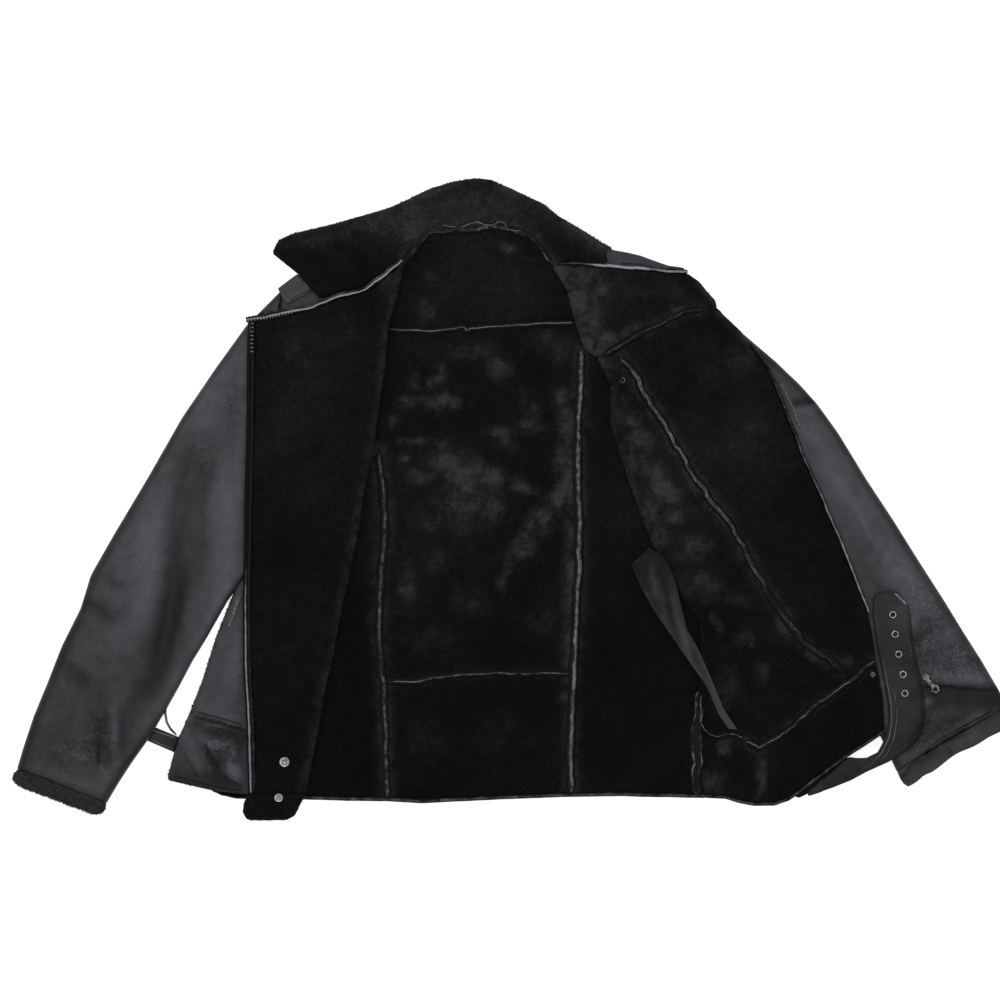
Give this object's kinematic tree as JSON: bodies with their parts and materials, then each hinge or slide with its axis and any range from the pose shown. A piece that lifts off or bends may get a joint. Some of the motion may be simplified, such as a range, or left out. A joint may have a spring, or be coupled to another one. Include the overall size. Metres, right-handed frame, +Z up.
{
  "type": "shearling biker jacket",
  "caption": "Shearling biker jacket laid flat and open: black leather outside, black wool inside, notched collar, belted hem, leather-bound front edges and zipped cuffs.",
  "frame": {"origin": "centre of the laid-out jacket's bounding box, on the surface that it lies on", "axes": "+X to the right in plan, from sleeve to sleeve, +Y towards the collar, +Z up from the surface"},
  "size_m": [1.1997, 0.7664, 0.0296],
  "materials": {
    "wool": "clipped wool pile",
    "leather": "soft sheen",
    "binding": "worn bright edge",
    "pocketing": "matte twill",
    "nickel": "bright nickel"
  },
  "bodies": {
    "jacket": {"back_yoke": "wool", "back_centre": "wool", "back_hem_band": "wool", "back_side_left": "wool", "back_side_right": "wool", "front_left_main": "wool", "hem_tab_left": "wool", "lapel_right": "wool", "front_right_side": "wool", "front_right_main": "wool", "front_right_hem_band": "wool", "collar": "wool", "cuff_left": "wool", "front_left_side": "leather", "hem_band_left": "leather", "collar_tab": "leather", "shoulder_right": "leather", "sleeve_left": "leather", "sleeve_right": "leather", "cuff_right": "leather", "belt_tongue": "leather", "belt_left": "leather", "binding_left_edge": "binding", "binding_left_top": "binding", "binding_right_top": "binding", "binding_right_edge": "binding", "binding_back_hem": "binding", "binding_front_hem": "binding", "ridge_neck": "binding", "ridge_yoke": "binding", "ridge_back_left": "binding", "ridge_back_right": "binding", "ridge_back_cross": "binding", "ridge_side_right": "binding", "ridge_shoulder_right": "binding", "ridge_diagonal": "binding", "ridge_hem_right": "binding", "pocket_bag": "pocketing", "eyelet_1": "nickel", "eyelet_2": "nickel", "eyelet_3": "nickel", "eyelet_4": "nickel", "eyelet_5": "nickel", "snap_upper": "nickel", "snap_lower": "nickel", "snap_right": "nickel", "ring_right": "nickel", "pocket_zip_left": "nickel", "front_zip_right": "nickel", "sleeve_zip_right": "nickel", "zip_slider": "nickel"},
    "pull": {"pull_tab": "nickel"}
  },
  "joints": [
    {"name": "pull_tab_swing", "type": "hinge", "parent": "jacket", "child": "pull", "pos_m": [0.4953, -0.2142, 0.0247], "axis": [-0.7878, -0.6159, 0], "range_deg": [0, 150]}
  ]
}
